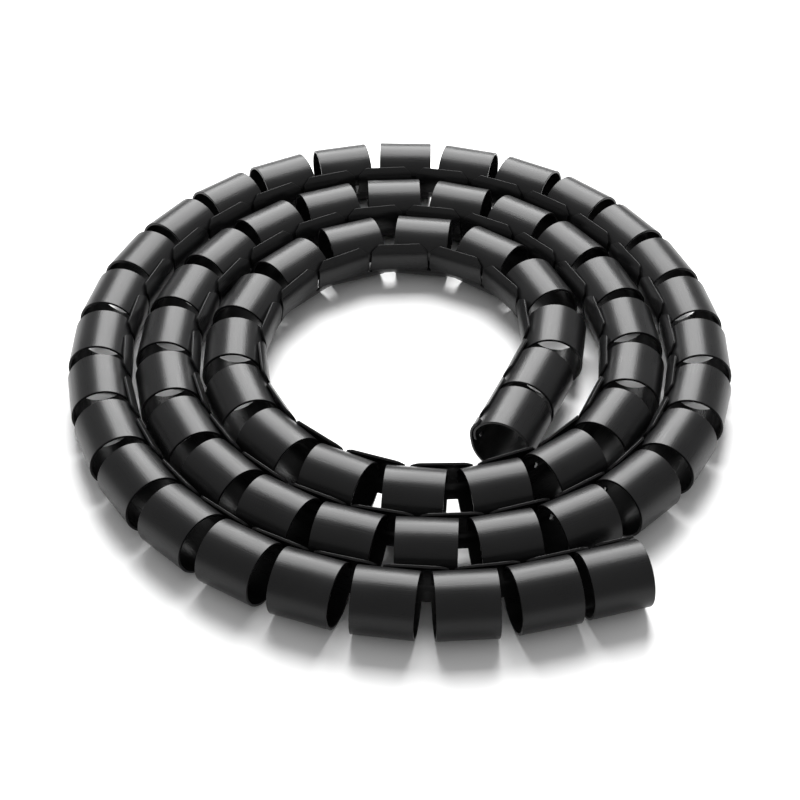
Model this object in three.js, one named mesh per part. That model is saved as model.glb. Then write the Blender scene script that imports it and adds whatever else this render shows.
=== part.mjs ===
// Spiral cable wrap: a slotted plastic tube, laid down as an open flat coil.
// Millimetres, +Z up, resting on the plane z = 0. The coil runs clockwise seen from above,
// from its outer end at the front right to its inner end inside the coil.
import * as THREE from 'three';

// Tube section
const TUBE_DIAMETER = 22.4;
const WALL = 0.9;

// Rings: short lengths of tube, one after the other along the spine
const RING_COUNT = 65;
const RING_LENGTH = 20.6;
const RING_GAP_AT_SPINE = 2.7;

// Places round the section, in degrees from the top of the tube towards the coil's inner side
const FLAP_EDGE_ANGLE = 48;
const SPINE_TOP_ANGLE = 101;
const SPINE_ANGLE = 108.6;
const SPINE_BOTTOM_ANGLE = 129;
const RING_TIP_ANGLE = 88;

// Facets: one flat facet under the tube carries it, the rest share the way round to the tip
const BOTTOM_FACET_ANGLE = 25;
const FACETS_BEFORE_BOTTOM = 2;
const FACETS_AFTER_BOTTOM = 10;
const FLAP_FACETS = 3;

// Lap: the flaps flare out above the spine, to lie over the rings' tips, which turn in below them
const LAP_CLEARANCE = 0.3;
const TIP_TURN_IN = 0.6;
const FLARE_END_ANGLE = 60;
const FLAP_SET_OUT = 0.25;

// Slits between the flaps, each a little past the middle of a ring, with a round relief hole
// at its foot
const SLIT_SHIFT = 3.6;
const SLIT_FOOT_WIDTH = 1;
const SLIT_TOP_WIDTH = 2.5;
const FLAP_CHAMFER = 2.7;
const RELIEF_HOLE_DIAMETER = 1.9;
const RELIEF_HOLE_SIDES = 6;

// Coil: distance of the spine from the coil's centre at each quarter turn, outer end first
const SPINE_RADII = [110.4, 110.5, 114.5, 87.5, 86.6, 86.5, 88, 63, 62.8, 62.5, 62.5, 35.3, 13];
const COIL_START_ANGLE = -73;
const COIL_TURN = 1005;
const STRAIGHT_START = 33;

const QUARTER_TURN = 90;
const DEGREE = Math.PI / 180;
const RADIUS = TUBE_DIAMETER / 2;
const RING_PITCH = RING_LENGTH + RING_GAP_AT_SPINE;
const WALL_MIDDLE = RADIUS - WALL / 2;
const SPINE_REACH = WALL_MIDDLE * Math.sin(SPINE_ANGLE * DEGREE);
const AXIS_HEIGHT = RADIUS * Math.cos(BOTTOM_FACET_ANGLE / 2 * DEGREE);
const CHAMFER_ANGLE = FLAP_CHAMFER / RADIUS / DEGREE;

// Distance of the spine from the coil's centre after a turn in degrees, eased through SPINE_RADII
function spineRadius(turn) {
  const last = SPINE_RADII.length - 1;
  const at = Math.min(Math.floor(turn / QUARTER_TURN), last - 1);
  const u = turn / QUARTER_TURN - at;
  const p1 = SPINE_RADII[at];
  const p2 = SPINE_RADII[at + 1];
  const p0 = at > 0 ? SPINE_RADII[at - 1] : 2 * p1 - p2;
  const p3 = at + 2 <= last ? SPINE_RADII[at + 2] : 2 * p2 - p1;
  const square = 2 * p0 - 5 * p1 + 4 * p2 - p3;
  const cube = 3 * p1 - p0 - 3 * p2 + p3;
  return 0.5 * (2 * p1 + (p2 - p0) * u + square * u * u + cube * u * u * u);
}

function spinePoint(turn) {
  const angle = (COIL_START_ANGLE - turn) * DEGREE;
  const radius = spineRadius(turn);
  return new THREE.Vector2(radius * Math.cos(angle), radius * Math.sin(angle));
}

// The spine line: a straight start, the coil in fine steps, and a straight run-out
function spineLine() {
  const step = 0.5;
  const coil = [];
  for (let turn = 0; turn <= COIL_TURN; turn += step) coil.push(spinePoint(turn));
  const first = coil[0].clone().sub(coil[1]).setLength(STRAIGHT_START).add(coil[0]);
  const end = coil[coil.length - 1];
  const before = coil[coil.length - 2];
  const runOut = end.clone().sub(before).setLength(RING_COUNT * RING_PITCH).add(end);
  return [first, ...coil, runOut];
}

// Points at equal steps along a line of points
function walk(line, distances) {
  const found = [];
  let index = 0;
  let passed = 0;
  for (const distance of distances) {
    while (passed + line[index].distanceTo(line[index + 1]) < distance) {
      passed += line[index].distanceTo(line[index + 1]);
      index += 1;
    }
    const share = (distance - passed) / line[index].distanceTo(line[index + 1]);
    found.push(line[index].clone().lerp(line[index + 1], share));
  }
  return found;
}

// A frame stands on the spine at a distance from the outer end: along follows the tube,
// inward points to the coil's inner side
function frameAt(station, point, along) {
  const inward = new THREE.Vector2(along.y, -along.x);
  return { station, point, along, inward };
}

const stations = Array.from({ length: 2 * RING_COUNT + 1 }, (_, k) => k * RING_PITCH / 2);
const spine = walk(spineLine(), stations);
const rings = [];
for (let ring = 0; ring < RING_COUNT; ring += 1) {
  const along = spine[2 * ring + 2].clone().sub(spine[2 * ring]).normalize();
  rings.push(frameAt((ring + 0.5) * RING_PITCH, spine[2 * ring + 1], along));
}

// Each flap lies straight across a gap, from one ring's slit to the next ring's
const slits = rings.map((frame) => frame.point.clone().addScaledVector(frame.along, SLIT_SHIFT));
const flaps = [];
for (let ring = 0; ring + 1 < RING_COUNT; ring += 1) {
  const from = slits[ring];
  const to = slits[ring + 1];
  const along = to.clone().sub(from).normalize();
  const station = (ring + 1) * RING_PITCH + SLIT_SHIFT;
  const frame = frameAt(station, from.clone().lerp(to, 0.5), along);
  frame.point.addScaledVector(frame.inward, -FLAP_SET_OUT);
  flaps.push(frame);
}

// Outer and inner point of the wall, at a length along a frame, an angle and an outer radius
function wallPoints(frame, length, angle, radius = RADIUS) {
  return [radius, radius - WALL].map((r) => {
    const across = r * Math.sin(angle * DEGREE) - SPINE_REACH;
    const x = frame.point.x + frame.along.x * length + frame.inward.x * across;
    const y = frame.point.y + frame.along.y * length + frame.inward.y * across;
    return new THREE.Vector3(x, y, AXIS_HEIGHT + r * Math.cos(angle * DEGREE));
  });
}

// Angles of a ring's facet edges, from its root at the spine, under the tube and over to its tip
function ringAngles() {
  const low = 180 - BOTTOM_FACET_ANGLE / 2;
  const high = 180 + BOTTOM_FACET_ANGLE / 2;
  const angles = [];
  for (let k = 0; k < FACETS_BEFORE_BOTTOM; k += 1) {
    angles.push(SPINE_BOTTOM_ANGLE + k * (low - SPINE_BOTTOM_ANGLE) / FACETS_BEFORE_BOTTOM);
  }
  angles.push(low);
  for (let k = 0; k <= FACETS_AFTER_BOTTOM; k += 1) {
    angles.push(high + k * (360 + RING_TIP_ANGLE - high) / FACETS_AFTER_BOTTOM);
  }
  return angles;
}

// Share of the flare at an angle: none at a flap's foot, all of it from FLARE_END_ANGLE upwards
function flareShare(angle) {
  return THREE.MathUtils.smoothstep(SPINE_TOP_ANGLE - angle, 0, SPINE_TOP_ANGLE - FLARE_END_ANGLE);
}

// A flap's outer radius: the tube's at its foot, and clear of the rings' tips at its free edge
function flapRadius(angle) {
  return RADIUS + flareShare(angle) * (WALL + LAP_CLEARANCE);
}

// A ring's outer radius: the tube's all the way over the top, and less where its tip passes
// below the narrow part of the flaps
function ringRadius(angle) {
  const unflared = angle > 360 ? 1 - flareShare(angle - 360) : 0;
  return RADIUS - unflared * (WALL + LAP_CLEARANCE + TIP_TURN_IN);
}

// The wrap as one folded sheet: corners are pairs of wall points, with their place on the sheet
// laid flat, and faces are lists of corners
const corners = [];
const flat = [];
const faces = [];

function corner(frame, length, angle, radius) {
  corners.push(wallPoints(frame, length, angle, radius));
  flat.push(new THREE.Vector2(frame.station + length, -angle * DEGREE * RADIUS));
  return corners.length - 1;
}

function strip(left, right) {
  for (let k = 0; k + 1 < left.length; k += 1) {
    faces.push([left[k], right[k], right[k + 1], left[k + 1]]);
  }
}

// Half the width of a slit, from its foot up to the chamfer and the flap's free edge
function slitHalfWidth(angle) {
  const rise = (SPINE_TOP_ANGLE - angle) / (SPINE_TOP_ANGLE - FLAP_EDGE_ANGLE);
  const width = SLIT_FOOT_WIDTH + rise * (SLIT_TOP_WIDTH - SLIT_FOOT_WIDTH);
  const intoChamfer = Math.max(0, 1 - (angle - FLAP_EDGE_ANGLE) / CHAMFER_ANGLE);
  return width / 2 + intoChamfer * FLAP_CHAMFER;
}

function flapAngles() {
  const chamferEnd = FLAP_EDGE_ANGLE + CHAMFER_ANGLE;
  const angles = [FLAP_EDGE_ANGLE];
  for (let k = 0; k < FLAP_FACETS; k += 1) {
    angles.push(chamferEnd + k * (SPINE_TOP_ANGLE - chamferEnd) / (FLAP_FACETS - 1));
  }
  return angles;
}

// Rings
const roots = rings.map((frame) => {
  const half = RING_LENGTH / 2;
  const left = ringAngles().map((angle) => corner(frame, -half, angle, ringRadius(angle)));
  const right = ringAngles().map((angle) => corner(frame, half, angle, ringRadius(angle)));
  strip(left, right);
  return { left: left[0], right: right[0] };
});

// Flaps: whole ones between the slits, and a shorter one at each end of the wrap
const flapFrames = [rings[0], ...flaps, rings[RING_COUNT - 1]];
const feet = flapFrames.map((frame, k) => {
  const half = RING_PITCH / 2;
  const isFirst = k === 0;
  const isLast = k === RING_COUNT;
  const left = flapAngles().map((angle) => {
    const edge = isFirst ? -RING_LENGTH / 2 : (isLast ? SLIT_SHIFT : -half) + slitHalfWidth(angle);
    return corner(frame, edge, angle, flapRadius(angle));
  });
  const right = flapAngles().map((angle) => {
    const edge = isLast ? RING_LENGTH / 2 : (isFirst ? SLIT_SHIFT : half) - slitHalfWidth(angle);
    return corner(frame, edge, angle, flapRadius(angle));
  });
  strip(left, right);
  return { left: left[left.length - 1], right: right[right.length - 1] };
});

// Relief holes: each an open half-round under its slit, in the left flap's and the right flap's
// frame on the two sides and in the ring's frame at its lowest corner
const lowest = (RELIEF_HOLE_SIDES - 2) / 2;
const holes = rings.map((frame, ring) => {
  const radius = RELIEF_HOLE_DIAMETER / 2;
  const centreAngle = SPINE_TOP_ANGLE + radius / RADIUS / DEGREE;
  const around = [];
  for (let k = 0; k <= 2 * lowest; k += 1) {
    const turn = k / lowest * Math.PI / 2;
    const length = -radius * Math.cos(turn);
    const angle = centreAngle + radius * Math.sin(turn) / RADIUS / DEGREE;
    const side = k - lowest;
    const slitFrame = ring + (side > 0 ? 1 : 0);
    const isEndFlap = slitFrame === 0 || slitFrame === RING_COUNT;
    const offset = side < 0 ? RING_PITCH / 2 : -RING_PITCH / 2;
    if (side === 0 || isEndFlap) around.push(corner(frame, SLIT_SHIFT + length, angle));
    else around.push(corner(flapFrames[slitFrame], offset + length, angle));
  }
  return around;
});

// Spine web: below each ring's hole, and across each gap from hole to hole
holes.forEach((hole, ring) => {
  faces.push([roots[ring].left, roots[ring].right, hole[lowest]]);
});
for (let k = 0; k <= RING_COUNT; k += 1) {
  const web = [];
  if (k > 0) web.push(...holes[k - 1].slice(lowest), feet[k].left);
  else web.push(feet[k].left);
  web.push(feet[k].right);
  if (k < RING_COUNT) web.push(...holes[k].slice(0, lowest + 1), roots[k].left);
  if (k > 0) web.push(roots[k - 1].right);
  faces.push(web);
}

// Thickens the sheet: an outer skin, an inner skin and a wall along each free edge
function thicken() {
  const positions = [];
  corners.forEach(([outer, inner]) => positions.push(...outer, ...inner));
  const index = [];
  const edges = new Set();
  const triangles = [];
  for (const face of faces) {
    const outline = face.map((k) => flat[k]);
    for (const [i, j, k] of THREE.ShapeUtils.triangulateShape(outline, [])) {
      const isRound = THREE.ShapeUtils.area([outline[i], outline[j], outline[k]]) > 0;
      triangles.push(isRound ? [face[i], face[j], face[k]] : [face[i], face[k], face[j]]);
    }
  }
  for (const [a, b, c] of triangles) {
    index.push(2 * a, 2 * b, 2 * c, 2 * a + 1, 2 * c + 1, 2 * b + 1);
    for (const [from, to] of [[a, b], [b, c], [c, a]]) {
      const back = `${to} ${from}`;
      if (!edges.delete(back)) edges.add(`${from} ${to}`);
    }
  }
  for (const edge of edges) {
    const [from, to] = edge.split(' ').map(Number);
    index.push(2 * from, 2 * from + 1, 2 * to + 1, 2 * from, 2 * to + 1, 2 * to);
  }
  const geometry = new THREE.BufferGeometry();
  geometry.setAttribute('position', new THREE.Float32BufferAttribute(positions, 3));
  geometry.setIndex(index);
  return geometry;
}

const geometry = thicken();
geometry.computeBoundingBox();
const middle = geometry.boundingBox.getCenter(new THREE.Vector3());
geometry.translate(-middle.x, -middle.y, -geometry.boundingBox.min.z);
geometry.computeVertexNormals();

const blackPlastic = new THREE.MeshStandardMaterial({ color: 0x161616, roughness: 0.42, metalness: 0 });
const wrap = new THREE.Mesh(geometry, blackPlastic);
wrap.name = 'spiral_wrap';

const group = new THREE.Group();
group.add(wrap);

export default group;
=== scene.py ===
import math
import bpy
import bmesh
import numpy as np
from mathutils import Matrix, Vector


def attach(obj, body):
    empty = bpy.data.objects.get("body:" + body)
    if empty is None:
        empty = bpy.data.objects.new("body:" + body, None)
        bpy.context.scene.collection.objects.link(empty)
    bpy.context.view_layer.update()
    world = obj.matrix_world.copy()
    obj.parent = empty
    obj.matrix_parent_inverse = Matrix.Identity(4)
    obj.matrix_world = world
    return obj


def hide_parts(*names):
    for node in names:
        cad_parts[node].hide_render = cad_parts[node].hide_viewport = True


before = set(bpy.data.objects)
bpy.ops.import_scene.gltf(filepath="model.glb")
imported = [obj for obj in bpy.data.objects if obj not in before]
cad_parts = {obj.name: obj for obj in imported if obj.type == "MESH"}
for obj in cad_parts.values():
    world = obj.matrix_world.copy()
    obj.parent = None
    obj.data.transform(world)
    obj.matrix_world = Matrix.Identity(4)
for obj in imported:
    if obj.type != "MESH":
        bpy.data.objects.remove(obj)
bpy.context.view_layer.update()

# Camera: stands in front of the coil and looks down on it, as the photograph does. Its lens
# is worked out in pixels of a square picture.
camera_rise = math.radians(41.23)
camera_distance = 0.6869
camera_target = Vector((0.0, -0.0222, 0.011))
focal_length_in_pixels = 1927.7
picture_width_in_pixels = 800
sensor_width = 36.0
camera = bpy.data.objects.new("camera", bpy.data.cameras.new("camera"))
bpy.context.scene.collection.objects.link(camera)
bpy.context.scene.camera = camera
back_and_up = Vector((0.0, -math.cos(camera_rise), math.sin(camera_rise)))
camera.location = camera_target + camera_distance * back_and_up
camera.rotation_euler = (camera_target - camera.location).to_track_quat("-Z", "Y").to_euler()
camera.data.sensor_width = sensor_width
camera.data.lens = sensor_width * (focal_length_in_pixels / picture_width_in_pixels)
camera.data.clip_start = 0.01


# Spiral wrap: one extruded tube of satin black plastic, punched into a row of rings. Each ring
# hangs from a narrow spine on the coil's inner side, runs under the tube and over its top, and
# tucks its tip in under the flaps that stand up from the spine.
tube_radius = 0.0112
wall = 0.0009
ring_count = 65
half_ring = 0.0103
half_pitch = 0.01165
half_gap = half_pitch - half_ring
spine_angle = 108.6
underside_facet_angle = 25
flap_edge_angle = 48
slit_foot_angle = 101
ring_root_angle = 129
ring_tip_angle = 448
flare_end_angle = 60
flare = 0.0012
tip_turn_in = 0.0006
flap_set_out = 0.00025
flap_chamfer = 0.0027
slit_shift = 0.0036
hole_radius = 0.00095
slit_foot_width = 0.001
slit_top_width = 0.0025
spine_reach = (tube_radius - wall / 2) * math.sin(math.radians(spine_angle))
axis_height = tube_radius * math.cos(math.radians(underside_facet_angle / 2))
degree_length = tube_radius * math.radians(1)

# The spine's line on the floor: a straight start, then a spiral through these distances from
# the coil's centre at each quarter turn, then a straight run-out.
quarter_radii = [
    0.1104, 0.1105, 0.1145, 0.0875, 0.0866, 0.0865, 0.088,
    0.063, 0.0628, 0.0625, 0.0625, 0.0353, 0.013,
]
start_angle = -73
whole_turn = 1005
turn_step = 0.5
straight_start = 0.033
wrap_length = ring_count * 2 * half_pitch
radius_ahead = 2 * quarter_radii[0] - quarter_radii[1]
radius_beyond = 2 * quarter_radii[-1] - quarter_radii[-2]
guide_radii = [radius_ahead, *quarter_radii, radius_beyond]


def smooth_between(p0, p1, p2, p3, u):
    """A smooth way from p1 to p2 as u goes from 0 to 1, in line with their neighbours."""
    bend = 2 * p0 - 5 * p1 + 4 * p2 - p3
    twist = 3 * p1 - p0 - 3 * p2 + p3
    return 0.5 * (2 * p1 + (p2 - p0) * u + bend * u**2 + twist * u**3)


coil = []
for turn in np.arange(0, whole_turn + turn_step / 2, turn_step):
    quarter = min(int(turn // 90), len(quarter_radii) - 2)
    radius = smooth_between(*guide_radii[quarter:quarter + 4], turn / 90 - quarter)
    angle = math.radians(start_angle - turn)
    coil.append((radius * math.cos(angle), radius * math.sin(angle)))
coil = np.array(coil)
first_step = coil[0] - coil[1]
last_step = coil[-1] - coil[-2]
first = coil[0] + first_step * straight_start / np.hypot(*first_step)
last = coil[-1] + last_step * wrap_length / np.hypot(*last_step)
line = np.vstack([first, coil, last])
passed = np.concatenate([[0], np.cumsum(np.hypot(*np.diff(line, axis=0).T))])
stations = np.arange(2 * ring_count + 1) * half_pitch
spine = np.stack([np.interp(stations, passed, line[:, k]) for k in (0, 1)], axis=1)


def frame_at(station, point, along, set_out=0.0):
    """A place on the spine: how far along it, where, which way it runs and which way is in."""
    along = along / np.hypot(*along)
    inward = np.array([along[1], -along[0]])
    return station, point - inward * set_out, along, inward


# A ring's frame stands at its middle. A flap bridges two rings, so its frame stands half-way
# between the slits in them, a little out from the spine towards the tube's axis.
rings = []
for k in range(ring_count):
    before, at, after = 2 * k, 2 * k + 1, 2 * k + 2
    rings.append(frame_at(stations[at], spine[at], spine[after] - spine[before]))
flaps = [rings[0]]
for k in range(ring_count - 1):
    start, end = (ring[1] + ring[2] * slit_shift for ring in rings[k:k + 2])
    station = stations[2 * k + 2] + slit_shift
    flaps.append(frame_at(station, (start + end) / 2, end - start, flap_set_out))
flaps.append(rings[-1])


def place(on, length, angle, radius):
    """Outer and inner point of the wall, on a ring's or a flap's frame. The angle is in degrees
    round the tube, from its top down past the spine, along the underside and up again."""
    station, point, along, inward = on
    points = []
    for r in (radius, radius - wall):
        across = r * math.sin(math.radians(angle)) - spine_reach
        flat = point + along * length + inward * across
        points.append(np.array([*flat, axis_height + r * math.cos(math.radians(angle))]))
    return points


def smooth_share(share):
    share = min(1.0, max(0.0, share))
    return share * share * (3 - 2 * share)


def flare_share(angle):
    """None at a flap's foot, all of it from the end of the flare upwards."""
    return smooth_share((slit_foot_angle - angle) / (slit_foot_angle - flare_end_angle))


# Rows of the flaps and the spine, from the flaps' free edge down past the round hole at each
# slit's foot to the rings' roots, with half the width of the opening at each row.
chamfer_steps = 3
slit_steps = 7
hole_steps = 8
root_steps = 4
chamfer_angle = flap_edge_angle + flap_chamfer / degree_length
chamfer_rows = np.linspace(flap_edge_angle, chamfer_angle, chamfer_steps + 1)
slit_rows = np.linspace(chamfer_angle, slit_foot_angle, slit_steps + 1)
rows = []
for angle in [*chamfer_rows, *slit_rows[1:]]:
    rise = (slit_foot_angle - angle) / (slit_foot_angle - flap_edge_angle)
    slit_width = slit_foot_width + rise * (slit_top_width - slit_foot_width)
    cut = max(0.0, (chamfer_angle - angle) * degree_length)
    rows.append((angle, slit_width / 2 + cut))
hole_angle = slit_foot_angle + hole_radius / degree_length
first_swing = math.asin(slit_foot_width / 2 / hole_radius)
for swing in np.linspace(first_swing, math.pi, hole_steps + 1):
    angle = hole_angle - math.cos(swing) * hole_radius / degree_length
    rows.append((angle, hole_radius * abs(math.sin(swing))))
hole_foot_angle = rows[-1][0]
for angle in np.linspace(hole_foot_angle, ring_root_angle, root_steps + 1)[1:]:
    rows.append((angle, 0.0))

vertices = []
sheet_places = []
quads = []


def add_grid(grid):
    """A sheet of points: rows of (outer point, inner point, place on the flat sheet)."""
    start = len(vertices) // 2
    for line_of_points in grid:
        for (outer, inner), flat in line_of_points:
            vertices.extend((outer, inner))
            sheet_places.append(flat)
    width = len(grid[0])
    for i in range(len(grid) - 1):
        for j in range(width - 1):
            a = start + i * width + j
            quads.append((a, a + width, a + width + 1, a + 1))


# One sheet between each two slits: it follows the flap at the top and, from the hole's foot
# down, the ring before it and the ring after it.
for k in range(ring_count + 1):
    before = rings[k - 1] if k > 0 else None
    after = rings[k] if k < ring_count else None
    grid = []
    for angle, half_width in rows:
        ring_share = smooth_share((angle - slit_foot_angle) / (hole_foot_angle - slit_foot_angle))
        radius = tube_radius + flare_share(angle) * flare
        if before is None:
            spots = [
                (after, -half_ring, -half_ring),
                (after, slit_shift - half_width, slit_shift - half_width),
            ]
        elif after is None:
            spots = [
                (before, slit_shift + half_width, slit_shift + half_width),
                (before, half_ring, half_ring),
            ]
        else:
            spots = [
                (before, slit_shift + half_width, half_width - half_pitch),
                (before, half_ring, -half_gap - slit_shift),
                (after, -half_ring, half_gap - slit_shift),
                (after, slit_shift - half_width, half_pitch - half_width),
            ]
        points = []
        for ring, on_ring, on_flap in spots:
            by_ring = place(ring, on_ring, angle, radius)
            by_flap = place(flaps[k], on_flap, angle, radius)
            pair = [ring_share * a + (1 - ring_share) * b for a, b in zip(by_ring, by_flap)]
            points.append((pair, (ring[0] + on_ring, angle * degree_length)))
        grid.append(points)
    add_grid(grid)

# The rings, from their roots at the spine round to their tips, which turn in under the flaps.
ring_steps = 78
ring_rows = np.linspace(ring_root_angle, ring_tip_angle, ring_steps + 1)
for ring in rings:
    grid = []
    for angle in ring_rows:
        turned_in = 1 - flare_share(angle - 360) if angle > 360 else 0
        radius = tube_radius - turned_in * (flare + tip_turn_in)
        points = []
        for length in (-half_ring, slit_shift, half_ring):
            flat = (ring[0] + length, angle * degree_length)
            points.append((place(ring, length, angle, radius), flat))
        grid.append(points)
    add_grid(grid)

# The outer points make one welded sheet, which keeps its inner points beside it.
weld_distance = 1e-6
sheet = bmesh.new()
inner_point = sheet.verts.layers.float_vector.new("inner")
flat_place = sheet.loops.layers.uv.new("sheet")
for outer, inner in zip(vertices[::2], vertices[1::2]):
    vertex = sheet.verts.new(outer)
    vertex[inner_point] = inner
sheet.verts.ensure_lookup_table()
for quad in quads:
    face = sheet.faces.new([sheet.verts[c] for c in quad])
    for loop, c in zip(face.loops, quad):
        loop[flat_place].uv = sheet_places[c]
bmesh.ops.remove_doubles(sheet, verts=sheet.verts, dist=weld_distance)
sheet.verts.index_update()

# The sheet gets its thickness: an outer skin, an inner skin and a wall along each free edge.
# Its underside is flattened where it rests, and it is centred on the origin.
count = len(sheet.verts)
outer_points = [list(v.co) for v in sheet.verts]
inner_points = [list(v[inner_point]) for v in sheet.verts]
points = np.array(outer_points + inner_points)
points[:count, 2] = np.maximum(points[:count, 2], 0.0)
middle = (points.min(axis=0) + points.max(axis=0)) / 2
points -= (middle[0], middle[1], points[:, 2].min())
faces = []
face_places = []
for face in sheet.faces:
    corners = [v.index for v in face.verts]
    places = [tuple(loop[flat_place].uv) for loop in face.loops]
    faces.append(corners)
    face_places.append(places)
    faces.append([c + count for c in reversed(corners)])
    face_places.append(places[::-1])
    for loop in face.loops:
        if len(loop.edge.link_faces) == 1:
            following = loop.link_loop_next
            a, b = loop.vert.index, following.vert.index
            flat_a, flat_b = tuple(loop[flat_place].uv), tuple(following[flat_place].uv)
            faces.append([a, a + count, b + count, b])
            face_places.append([flat_a, flat_a, flat_b, flat_b])
mesh = bpy.data.meshes.new("spiral_wrap_moulding")
mesh.from_pydata(points.tolist(), [], faces)
layer = mesh.uv_layers.new(name="sheet")
for loop, flat in zip(layer.data, [flat for places in face_places for flat in places]):
    loop.uv = flat
mesh.shade_smooth()
wrap = bpy.data.objects.new("spiral_wrap_moulding", mesh)
bpy.context.scene.collection.objects.link(wrap)

# Every edge of the wall is slightly rounded, so that it catches a thin line of light.
sharpest_smooth_angle = math.radians(50)
edge_rounding = 0.00018
rounding = wrap.modifiers.new("rounding", "BEVEL")
rounding.width = edge_rounding
rounding.segments = 2
rounding.limit_method = "ANGLE"
rounding.angle_limit = sharpest_smooth_angle
shading = wrap.modifiers.new("shading", "WEIGHTED_NORMAL")
shading.weight = 80
finished = wrap.evaluated_get(bpy.context.evaluated_depsgraph_get())
wrap.data = bpy.data.meshes.new_from_object(finished)
wrap.modifiers.clear()
wrap.data.name = "spiral_wrap_moulding"


class Value:
    """An output in a material's nodes. Sums with values and numbers add their Math nodes."""

    def __init__(self, tree, socket):
        self.tree = tree
        self.socket = socket

    def math(self, operation, other):
        node = self.tree.nodes.new("ShaderNodeMath")
        node.operation = operation
        join(self.tree, node.inputs[0], self)
        join(self.tree, node.inputs[1], other)
        return Value(self.tree, node.outputs[0])

    def __add__(self, other):
        return self.math("ADD", other)

    def __sub__(self, other):
        return self.math("SUBTRACT", other)

    def __mul__(self, other):
        return self.math("MULTIPLY", other)

    def __rsub__(self, other):
        return (self * -1.0) + other

    __radd__ = __add__
    __rmul__ = __mul__


def join(tree, socket, value):
    if isinstance(value, Value):
        tree.links.new(value.socket, socket)
    else:
        socket.default_value = value


class Material:
    def __init__(self, name):
        self.data = bpy.data.materials.new(name)
        self.data.use_nodes = True
        self.tree = self.data.node_tree
        self.tree.nodes.clear()

    def add(self, kind, settings, sockets, output):
        """A node of any kind: its settings, then the values or links of its sockets."""
        node = self.tree.nodes.new("ShaderNode" + kind)
        for name, setting in settings.items():
            setattr(node, name, setting)
        for name, value in sockets.items():
            join(self.tree, node.inputs[name], value)
        return Value(self.tree, node.outputs[output])

    def finish(self, surface):
        end = self.tree.nodes.new("ShaderNodeOutputMaterial")
        self.tree.links.new(surface.socket, end.inputs["Surface"])
        return self.data


# Satin black plastic, with faint streaks along the tube from its extrusion, a soft unevenness
# and a fine grain.
streaks_per_metre = (60, 2400, 0)
dark_black = (0.004, 0.004, 0.0042, 1)
light_black = (0.009, 0.009, 0.0094, 1)
satin = 0.31
satin_by_streaks = 0.26
satin_by_clouds = 0.10
noise_middle = 0.5
plastic = Material("black_plastic")
on_sheet = plastic.add("UVMap", {"uv_map": "sheet"}, {}, "UV")
stretched = plastic.add(
    "VectorMath", {"operation": "MULTIPLY"}, {0: on_sheet, 1: streaks_per_metre}, "Vector",
)
streaks = plastic.add(
    "TexNoise", {}, {"Vector": stretched, "Scale": 1.0, "Detail": 4.0, "Roughness": 0.65}, "Fac",
)
where = plastic.add("TexCoord", {}, {}, "Object")
clouds = plastic.add("TexNoise", {}, {"Vector": where, "Scale": 70.0, "Detail": 3.0}, "Fac")
grain = plastic.add("TexNoise", {}, {"Vector": where, "Scale": 2500.0, "Detail": 2.0}, "Fac")
colour = plastic.add(
    "Mix", {"data_type": "RGBA"}, {"Factor": clouds, 6: dark_black, 7: light_black}, 2,
)
roughness = (
    satin + (streaks - noise_middle) * satin_by_streaks + (clouds - noise_middle) * satin_by_clouds
)
height = streaks * 0.5 + grain * 0.5
relief = plastic.add("Bump", {}, {"Height": height, "Strength": 0.2, "Distance": 0.0002}, "Normal")
surface = plastic.add(
    "BsdfPrincipled", {},
    {"Base Color": colour, "Roughness": roughness, "Normal": relief, "IOR": 1.34},
    "BSDF",
)
wrap.data.materials.append(plastic.finish(surface))
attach(wrap, "root")
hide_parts("spiral_wrap")

# Floor: a plain pale table top with a slight gloss, on which the coil lies. It reaches far
# past the picture's edges.
floor_reach = 4
floor_corners = [(-1, -1), (1, -1), (1, 1), (-1, 1)]
floor_mesh = bpy.data.meshes.new("floor")
floor_mesh.from_pydata(
    [(x * floor_reach, y * floor_reach, 0) for x, y in floor_corners], [], [(0, 1, 2, 3)],
)
floor = bpy.data.objects.new("floor", floor_mesh)
bpy.context.scene.collection.objects.link(floor)
pale = Material("pale_table")
table_top = pale.add(
    "BsdfPrincipled", {},
    {"Base Color": (0.9, 0.9, 0.9, 1), "Roughness": 0.32, "IOR": 1.35},
    "BSDF",
)
floor.data.materials.append(pale.finish(table_top))

# Light: a wide soft panel above and behind the coil draws a long highlight on each ring, and
# a pale room fills the shadows.
world = bpy.data.worlds.new("room")
bpy.context.scene.world = world
world.use_nodes = True
room = world.node_tree.nodes["Background"]
room.inputs["Color"].default_value = (1, 1, 1, 1)
room.inputs["Strength"].default_value = 0.5
panel = bpy.data.lights.new("overhead", "AREA")
panel.shape = "RECTANGLE"
panel.size = 0.55
panel.size_y = 0.8
panel.energy = 15.1
overhead = bpy.data.objects.new("overhead", panel)
overhead.location = (0.0, 0.52, 0.55)
overhead.rotation_euler = (-overhead.location).to_track_quat("-Z", "Y").to_euler()
bpy.context.scene.collection.objects.link(overhead)
bpy.context.scene.view_settings.view_transform = "Standard"
